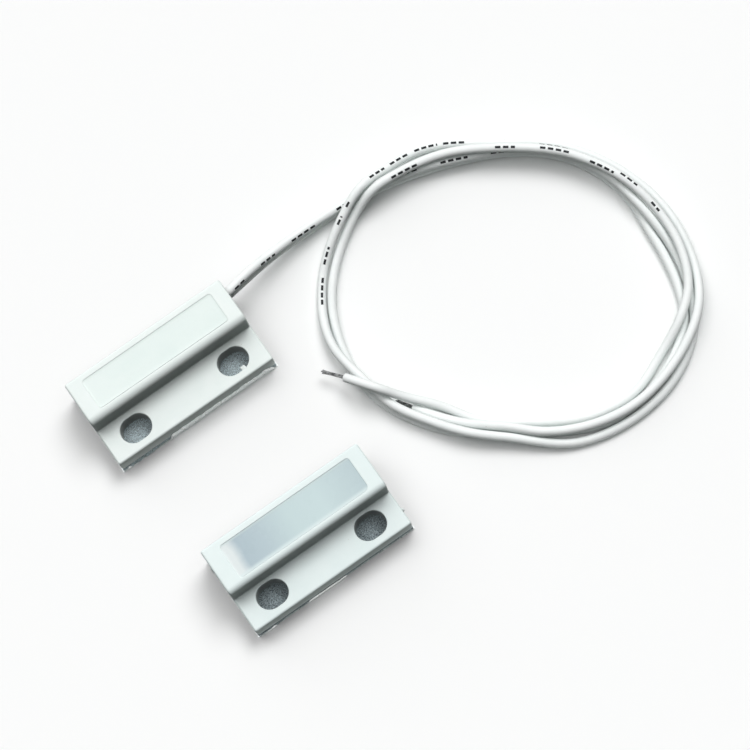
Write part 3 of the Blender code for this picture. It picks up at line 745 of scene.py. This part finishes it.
switchBlock = {
    "at": (-1.3, 16.3),
    "barWidth": 7.6,
    "frontRound": 1.15,
    "walls": {"left": 2.5, "right": 2.3, "front": 1.4, "back": 1.1},
    "tubCorner": 0.5,
    "frontRightCorner": 0.5,
    "potting": 8.9,
    "outlet": {"y": 5.0, "heights": (5.4, 6.9), "radius": 0.78, "start": 10.4},
}

magnetBlock = {
    "at": (1.3, -16.3),
    "barWidth": 8.0,
    "frontRound": 0.95,
    "walls": {"left": 2.75, "right": 2.3, "front": 1.15, "back": 1.1},
    "tubCorner": 0.5,
    "frontRightCorner": 0.8,
    "potting": 8.85,
    "outlet": None,
}


def arcPoints(centre, radius, start, end, steps):
    turns = [math.radians(start + (end - start) * i / steps) for i in range(steps + 1)]
    return [(centre[0] + radius * math.cos(t), centre[1] + radius * math.sin(t)) for t in turns]


def obround(length, width, steps=20):
    reach = (length - width) / 2
    right = arcPoints((reach, 0), width / 2, -90, 90, steps)
    return right + arcPoints((-reach, 0), width / 2, 90, 270, steps)


def tubEdges(block):
    # left, right, front and back of the tub
    half = blockShape["length"] / 2
    back = blockShape["width"] / 2
    walls = block["walls"]
    front = back - block["barWidth"] + walls["front"]
    return -half + walls["left"], half - walls["right"], front, back - walls["back"]


def tubOutline(block, inset=0.0, steps=6):
    left, right, front, back = tubEdges(block)
    left, right, front, back = left + inset, right - inset, front + inset, back - inset
    corner = block["tubCorner"]
    own = block["frontRightCorner"]
    return (
        arcPoints((right - own, front + own), own, -90, 0, steps)
        + arcPoints((right - corner, back - corner), corner, 0, 90, steps)
        + arcPoints((left + corner, back - corner), corner, 90, 180, steps)
        + arcPoints((left + corner, front + corner), corner, 180, 270, steps)
    )


def prismShape(outline, bottom, top, shrink=1.0):
    # an outline drawn up, its foot a little smaller where there is draft
    shape = bmesh.new()
    count = len(outline)
    middle = Vector((sum(p[0] for p in outline) / count, sum(p[1] for p in outline) / count))
    foot = [middle + (Vector(p) - middle) * shrink for p in outline]
    low = [shape.verts.new((p.x, p.y, bottom)) for p in foot]
    high = [shape.verts.new((p[0], p[1], top)) for p in outline]
    shape.faces.new(low)
    shape.faces.new(high)
    for i in range(count):
        after = (i + 1) % count
        shape.faces.new((low[i], low[after], high[after], high[i]))
    bmesh.ops.recalc_face_normals(shape, faces=shape.faces)
    return shape


def cutShape(shape, cutters):
    # takes the cutters away from a shape, exactly
    body = newObject("rough", shape, None)
    tools = [newObject("tool", cutter, None) for cutter in cutters]
    for tool in tools:
        modifier = body.modifiers.new("cut", "BOOLEAN")
        modifier.operation = "DIFFERENCE"
        modifier.solver = "EXACT"
        modifier.object = tool
    solidMesh(body)
    made = bmesh.new()
    made.from_mesh(body.data)
    for piece in (body, *tools):
        data = piece.data
        bpy.data.objects.remove(piece)
        bpy.data.meshes.remove(data)
    return made


def sharpEdges(shape, test, degrees=50):
    sharp = [e for e in shape.edges if e.is_manifold and e.calc_face_angle(0) > math.radians(degrees)]
    return [edge for edge in sharp if all(test(vert.co) for vert in edge.verts)]


def roundEdges(shape, edges, size, steps, clamp=True):
    bmesh.ops.bevel(
        shape, geom=edges, offset=size, offset_type="OFFSET", segments=steps, profile=0.5,
        affect="EDGES", clamp_overlap=clamp,
    )


def mouldedBlock(name, block, node, body, look):
    half = blockShape["length"] / 2
    front = -blockShape["width"] / 2
    back = blockShape["width"] / 2
    step = back - block["barWidth"]
    flange, top, bottom = blockShape["flangeTop"], blockShape["barTop"], blockShape["bottom"]
    draft = blockShape["draft"]

    # the section across the block: a full round on the bar's front, a small one at its foot
    shoulder, foot = block["frontRound"], blockShape["footRound"]
    section = [(front, bottom), (back, bottom), (back - draft, top)]
    section += arcPoints((step + draft + shoulder, top - shoulder), shoulder, 90, 180, 6)
    section += arcPoints((step - foot, flange + foot), foot, 0, -90, 4)
    section.append((front + draft / 2, flange))
    # drawn out along it, with a little draft at both ends
    shape = bmesh.new()
    ends = []
    for x, lean in ((-half, draft), (half, -draft)):
        ends.append([shape.verts.new((x + lean * (z - bottom) / (top - bottom), y, z)) for y, z in section])
    joinRings(shape, ends)
    bmesh.ops.recalc_face_normals(shape, faces=shape.faces)
    outer = sharpEdges(shape, lambda p: True, 40)
    roundEdges(shape, outer, blockShape["edgeRound"], 4, clamp=False)

    # tub, screw slots and wire outlet
    past = blockShape["cutPast"]
    slotX, slotY = blockShape["slotSpacing"] / 2, front + blockShape["slotFromFront"]
    tubTop = top + blockShape["tubCutPast"]
    cutters = [prismShape(tubOutline(block), blockShape["tubFloor"], tubTop, blockShape["tubFoot"])]
    for x in (-slotX, slotX):
        outline = [(px + x, py + slotY) for px, py in obround(*blockShape["slotSize"])]
        cutters.append(prismShape(outline, bottom - past, flange + past))
    outlet = block["outlet"]
    if outlet:
        low, high = outlet["heights"]
        ring = [(y, z) for z, y in obround(high - low + 2 * outlet["radius"], 2 * outlet["radius"], 12)]
        hole = prismShape(ring, outlet["start"], half + past)
        turn = Matrix(((0, 0, 1, 0), (1, 0, 0, outlet["y"]), (0, 1, 0, (low + high) / 2), (0, 0, 0, 1)))
        bmesh.ops.transform(hole, matrix=turn, verts=hole.verts)
        bmesh.ops.recalc_face_normals(hole, faces=hole.faces)
        cutters.append(hole)
    shape = cutShape(shape, cutters)

    # small rounds on the rims
    left, right, tubFront, tubBack = tubEdges(block)
    slotLength, slotWidth = blockShape["slotSize"]
    near = 0.04

    def onSlotRim(p):
        along = abs(abs(p.x) - slotX) < slotLength / 2 + near
        return abs(p.z - flange) < near and along and abs(p.y - slotY) < slotWidth / 2 + near

    def onTubRim(p):
        along = left - near < p.x < right + near
        return abs(p.z - top) < near and along and tubFront - near < p.y < tubBack + near

    roundEdges(shape, sharpEdges(shape, onSlotRim), blockShape["slotRound"], 3)
    roundEdges(shape, sharpEdges(shape, onTubRim), blockShape["rimRound"], 3)
    if outlet:
        reach = outlet["radius"] + near

        def onOutlet(p):
            onEnd = p.x > half - 2 * draft
            return onEnd and abs(p.y - outlet["y"]) < reach and low - reach < p.z < high + reach

        roundEdges(shape, sharpEdges(shape, onOutlet), blockShape["outletRound"], 2)

    bmesh.ops.remove_doubles(shape, verts=shape.verts, dist=blockShape["weld"])
    bmesh.ops.dissolve_degenerate(shape, edges=shape.edges, dist=blockShape["weld"])

    place = Matrix.Translation((block["at"][0] * mm, block["at"][1] * mm, 0)) @ Matrix.Scale(mm, 4)
    bmesh.ops.transform(shape, matrix=place, verts=shape.verts)
    piece = smoothPiece(newObject(name, shape, materials[look]), 40)
    weighNormals(piece)
    return finishPiece(piece, body, [node])


# Flash and a gate nub that the moulding left, as in the photo

flash = {"boxy": 0.55, "lumps": 0.32, "lumpScale": 1.6, "grain": 0.1, "grainScale": 5}

flashMarks = {
    # centre in mm in the shared frame, size along X, Y and Z, the seed of its lumps
    "slotBurr": {"at": (8.25, 10.72, 4.12), "size": (0.85, 1.15, 0.55), "body": "switch_half", "seed": 3},
    "gateNub": {"at": (15.28, -20.55, 3.55), "size": (0.55, 0.62, 0.55), "body": "magnet_half", "seed": 5},
    "endBurr": {"at": (-12.68, -12.55, 7.3), "size": (0.24, 0.8, 1.3), "body": "magnet_half", "seed": 9},
}


def flashMark(name, mark):
    shape = bmesh.new()
    bmesh.ops.create_icosphere(shape, subdivisions=3, radius=0.5)
    size = Vector(mark["size"])
    shift = Vector((mark["seed"], 0, 0))
    for v in shape.verts:
        direction = v.co.normalized()
        rough = flash["lumps"] * noise.noise(direction * flash["lumpScale"] + shift)
        rough += flash["grain"] * noise.noise(direction * flash["grainScale"] + shift)
        v.co *= max(abs(c) for c in direction) ** -flash["boxy"] * (1 + rough)
        v.co = (v.co * size + Vector(mark["at"])) * mm
    piece = smoothPiece(newObject(name, shape, materials["whitePlastic"]), 60)
    return finishPiece(piece, mark["body"])


# Resin surfaces over the potting, drawn up a little at the walls

resin = {
    "climb": 0.075,         # how far the resin climbs the wall
    "fade": 0.16,
    "insets": (0.0, 0.03, 0.07, 0.13, 0.22, 0.36, 0.6, 1.0),
    "gap": 0.02,
    "foot": 0.006,          # above the potting
    "face": 0.02,
}


def resinSurface(name, block, material, body):
    outlines = [(resin["gap"], block["potting"] + resin["foot"])]
    for inset in resin["insets"]:
        height = block["potting"] + resin["face"] + resin["climb"] * math.exp(-inset / resin["fade"])
        outlines.append((resin["gap"] + inset, height))
    x0, y0 = block["at"]
    shape = bmesh.new()
    rings = []
    for inset, z in outlines:
        outline = tubOutline(block, inset)
        rings.append([shape.verts.new(((x + x0) * mm, (y + y0) * mm, z * mm)) for x, y in outline])
    joinRings(shape, rings)
    bmesh.ops.recalc_face_normals(shape, faces=shape.faces)
    piece = smoothPiece(newObject(name, shape, material), 60)
    return finishPiece(piece, body)


# Foam pads and release films

foam = {
    "top": 0.985,
    "foot": 0.11,
    "cell": 0.2,
    "layers": 5,
    "inset": 0.05,
    "pit": 0.13,            # how deep the open cells of its top are
    "pitScale": 3.1,
    "pitSize": 0.45,
    "pitShare": 0.7,        # the rest is fine grain
    "grainScale": 1.7,
    "sideRoughness": 0.05,
    "sideScale": 4.5,
    "bulgeRound": 0.7,
    "bulgeUneven": (0.8, 0.6),
}

film = {
    "thickness": 0.06,
    "top": 0.095,
    "cell": 0.28,
    "pastEnd": 0.05,
    "pastBack": 0.06,
    "waveScale": 0.9,
    "waveOut": 0.1,
    "waveUp": 0.04,
    "stub": 0.05,           # height of the front edge where it isn't folded up
    "stubLean": 0.5,
    "foldRows": 10,
    "foldEase": 0.7,
    "foldUneven": (0.86, 0.3),
    "fullFold": 0.5,        # from this height on a fold leans and crinkles in full
    "shoulder": 0.62,       # where a fold bends in towards the block, as a share of its height
    "reach": 0.24,
    "gap": 0.08,
    "clear": 0.02,
    "crinkle": 0.07,
    "fineCrinkle": 0.035,
}

switchPad = {
    # stretches of the front, from and to in mm from the middle: foam squeezed out by so much,
    # film folded up to such a height and lean
    "look": "padFoam",
    "bulges": [(-13.6, -7.2, 0.30)],
    "folds": [(-5.6, 13.6, 2.0, 0.62), (-13.4, -12.2, 0.9, 0.5)],
    "seed": 2.0,
}

magnetPad = {
    "look": "shadedPadFoam",
    "bulges": [(-13.5, -9.0, 0.22), (-7.0, -3.0, 0.15)],
    "folds": [(-5.5, 2.2, 0.8, 0.45), (-13.2, -10.4, 0.6, 0.5)],
    "seed": 11.0,
}


def stretchShare(x, start, end, ease=0.9):
    # 0 outside a stretch, 1 well inside it
    share = min((x - start) / ease, (end - x) / ease, 1.0)
    share = max(share, 0.0)
    return share * share * (3 - 2 * share)


def foamPad(name, block, pad, node, body):
    length = blockShape["length"] - 2 * foam["inset"]
    width = blockShape["width"] - 2 * foam["inset"]
    columns = round(length / foam["cell"])
    rows = round(width / foam["cell"])
    layers = foam["layers"]
    seed = Vector((0, 0, pad["seed"]))
    tiny = 0.001
    x0, y0 = block["at"]
    shape = bmesh.new()

    def place(x, y, z):
        return shape.verts.new(((x + x0) * mm, (y + y0) * mm, z * mm))

    def sideways(x, y, z):
        # rough cut sides, and the stretches where foam is squeezed out in front
        level = min(max((z - foam["foot"]) / (foam["top"] - foam["foot"]), 0.0), 1.0)
        push = foam["sideRoughness"] * noise.noise(Vector((x, y, z)) * foam["sideScale"] + seed)
        if y < -width / 2 + tiny:
            profile = max(0.0, math.sin(math.pi * level)) ** foam["bulgeRound"]
            even, uneven = foam["bulgeUneven"]
            profile *= even + uneven * noise.noise(Vector((x * 1.3, z * 2, 4)) + seed)
            for start, end, reach in pad["bulges"]:
                push += reach * stretchShare(x, start, end) * profile
        outX = math.copysign(1, x) * push if abs(x) > length / 2 - tiny else 0.0
        outY = math.copysign(1, y) * push if abs(y) > width / 2 - tiny else 0.0
        return x + outX, y + outY

    top = []
    for i in range(columns + 1):
        x = -length / 2 + length * i / columns
        line = []
        for j in range(rows + 1):
            y = -width / 2 + width * j / rows
            spot = Vector((x, y, 0)) * foam["pitScale"] + seed
            pit = foam["pitShare"] * max(0.0, 1 - noise.voronoi(spot)[0][0] / foam["pitSize"])
            pit += (1 - foam["pitShare"]) * abs(noise.noise(spot * foam["grainScale"]))
            line.append(place(x, y, foam["top"] - foam["pit"] * pit))
        top.append(line)
    for i in range(columns):
        for j in range(rows):
            shape.faces.new((top[i][j], top[i + 1][j], top[i + 1][j + 1], top[i][j + 1]))
    border = [(i, 0) for i in range(columns)] + [(columns, j) for j in range(rows)]
    border += [(i, rows) for i in range(columns, 0, -1)] + [(0, j) for j in range(rows, 0, -1)]
    above = [top[i][j] for i, j in border]
    for k in range(1, layers + 1):
        z = foam["top"] + (foam["foot"] - foam["top"]) * k / layers
        ring = []
        for i, j in border:
            x, y = sideways(-length / 2 + length * i / columns, -width / 2 + width * j / rows, z)
            ring.append(place(x, y, z))
        for i in range(len(ring)):
            after = (i + 1) % len(ring)
            shape.faces.new((above[after], above[i], ring[i], ring[after]))
        above = ring
    shape.faces.new(reversed(above))
    bmesh.ops.recalc_face_normals(shape, faces=shape.faces)
    piece = smoothPiece(newObject(name, shape, materials[pad["look"]]), 50)
    return finishPiece(piece, body, [node])


def releaseFilm(name, block, pad, node, body):
    # a thin sheet below the pad: its rim waves, and along the front it is folded up in places
    length = blockShape["length"] + 2 * film["pastEnd"]
    front = -blockShape["width"] / 2
    back = blockShape["width"] / 2 + film["pastBack"]
    columns = round(length / film["cell"])
    rows = round((back - front) / film["cell"])
    seed = Vector((0, 0, pad["seed"] + 5))
    shoulder = film["shoulder"]
    x0, y0 = block["at"]
    shape = bmesh.new()
    lines = []
    for i in range(columns + 1):
        x = -length / 2 + length * i / columns
        line = []
        for j in range(rows + 1):
            y = back + (front - back) * j / rows
            atEnd, atBack = i in (0, columns), j == 0
            wave = noise.noise(Vector((x, y, 0)) * film["waveScale"] + seed) if atEnd or atBack else 0
            px = x + (math.copysign(film["waveOut"] * wave, x) if atEnd else 0)
            py = y + (film["waveOut"] * wave if atBack else 0)
            line.append((px, py, film["top"] + film["waveUp"] * abs(wave)))
        height, lean = film["stub"], film["stubLean"]
        even, uneven = film["foldUneven"]
        for start, end, rise, tilt in pad["folds"]:
            share = stretchShare(x, start, end, film["foldEase"])
            height += share * rise * (even + uneven * noise.noise(Vector((x * 0.8, 0, 0)) + seed))
            lean += share * (tilt - film["stubLean"])
        share = min(height / film["fullFold"], 1)
        for k in range(1, film["foldRows"] + 1):
            t = k / film["foldRows"]
            crinkle = film["crinkle"] * noise.noise(Vector((x * 1.9, t * 2.2, 7)) + seed)
            crinkle += film["fineCrinkle"] * noise.noise(Vector((x * 5, t * 4, 3)) + seed)
            turn = max(0.0, (t - shoulder) / (1 - shoulder)) * math.pi / 2
            out = film["gap"] * min(1, t * 3) + lean * share * film["reach"] * min(1, t * 2)
            out = out * (1 - share + share * math.cos(turn)) + film["clear"] + abs(crinkle) * share
            rise = t if turn == 0 else shoulder + (1 - shoulder) * math.sin(turn)
            line.append((x, front - out, film["top"] + height * rise))
        lines.append([shape.verts.new(((px + x0) * mm, (py + y0) * mm, pz * mm)) for px, py, pz in line])
    for line, following in zip(lines, lines[1:]):
        for j in range(len(line) - 1):
            shape.faces.new((line[j], line[j + 1], following[j + 1], following[j]))
    bmesh.ops.recalc_face_normals(shape, faces=shape.faces)
    piece = newObject(name, shape, materials["releaseFilm"])
    thick = piece.modifiers.new("thick", "SOLIDIFY")
    thick.thickness = film["thickness"] * mm
    thick.offset = -1
    solidMesh(piece)
    smoothPiece(piece, 50)
    return finishPiece(piece, body, [node])


# What stays as in the solids: the reed switch in its resin, the magnet in its own

solidFinishes = {
    "switch_potting": "switchResin",
    "magnet_potting": "magnetResin",
    "reed_glass": "reedGlass",
    "reed_blade_near": "reedMetal",
    "reed_blade_far": "reedMetal",
    "solder_joint_near": "solderMetal",
    "solder_joint_far": "solderMetal",
    "inner_strand_near": "tinnedCopper",
    "inner_strand_far": "tinnedCopper",
    "bar_magnet": "ferrite",
}


def dressSolids():
    for node, look in solidFinishes.items():
        for slot in nodes[node].material_slots:
            slot.material = materials[look]


def makeHalves():
    mouldedBlock("switchBlock", switchBlock, "switch_housing", "switch_half", "whitePlastic")
    mouldedBlock("magnetBlock", magnetBlock, "magnet_housing", "magnet_half", "shadedMagnetPlastic")
    for name, mark in flashMarks.items():
        flashMark(name, mark)
    print("blocks moulded")
    resinSurface("switchResinTop", switchBlock, materials["switchResin"], "switch_half")
    resinSurface("magnetResinTop", magnetBlock, materials["magnetResin"], "magnet_half")
    foamPad("switchFoam", switchBlock, switchPad, "switch_foam_pad", "switch_half")
    foamPad("magnetFoam", magnetBlock, magnetPad, "magnet_foam_pad", "magnet_half")
    releaseFilm("switchFilm", switchBlock, switchPad, "switch_liner", "switch_half")
    releaseFilm("magnetFilm", magnetBlock, magnetPad, "magnet_liner", "magnet_half")
    dressSolids()
    print("resin, pads and films laid")


magnetWindow = {
    # tone of the cloudy resin at places along the window, X in metres; the dark magnet shows through
    "tones": [
        (-0.0090, (0.76, 0.82, 0.82)),
        (-0.0076, (0.44, 0.54, 0.59)),
        (-0.0040, (0.48, 0.585, 0.625)),
        (0.0010, (0.57, 0.695, 0.705)),
        (0.0060, (0.59, 0.715, 0.725)),
        (0.0128, (0.51, 0.62, 0.645)),
    ],
    "span": (-0.0100, 0.0130),
    "cloudScale": 420,
    "drift": 0.0012,        # how far the clouds move the tones about
    # thin resin along the front and the back wall is lighter: Y where that starts and ends, how much
    "rims": [(-0.01615, -0.01545, 0.8), (-0.01060, -0.01095, 0.6)],
    "rimTone": (0.70, 0.80, 0.80),
}


def magnetResin():
    material = finish("magnetResin", looks["switchResin"])
    tree = material.node_tree
    shader = tree.nodes["Principled BSDF"]
    place = tree.nodes.new("ShaderNodeTexCoord")
    parts = tree.nodes.new("ShaderNodeSeparateXYZ")
    tree.links.new(place.outputs["Object"], parts.inputs["Vector"])
    cloud = tree.nodes.new("ShaderNodeTexNoise")
    cloud.inputs["Scale"].default_value = magnetWindow["cloudScale"]
    cloud.inputs["Detail"].default_value = 2
    tree.links.new(place.outputs["Object"], cloud.inputs["Vector"])
    drift = magnetWindow["drift"]
    low, high = magnetWindow["span"]
    drifted = mathNode(tree, "MULTIPLY_ADD", cloud.outputs["Fac"], drift, parts.outputs["X"])
    along = rangeNode(tree, drifted, (low + drift / 2, high + drift / 2), (0.0, 1.0))
    ramp = tree.nodes.new("ShaderNodeValToRGB")
    tree.links.new(along, ramp.inputs["Fac"])
    stops = ramp.color_ramp.elements
    for k, (x, tone) in enumerate(magnetWindow["tones"]):
        stop = stops[k] if k < 2 else stops.new((x - low) / (high - low))
        stop.position = (x - low) / (high - low)
        stop.color = (*tone, 1)
    colour = ramp.outputs["Color"]
    for start, end, share in magnetWindow["rims"]:
        rim = rangeNode(tree, parts.outputs["Y"], (start, end), (share, 0.0), smooth=True)
        colour = mixColours(tree, rim, colour, magnetWindow["rimTone"])
    tree.links.new(colour, shader.inputs["Base Color"])
    return material


makeCamera()
makeLamps()
makeRoom()
materials = {name: finish(name, look) for name, look in looks.items()}
materials["magnetResin"] = magnetResin()
makeWires()
makeHalves()
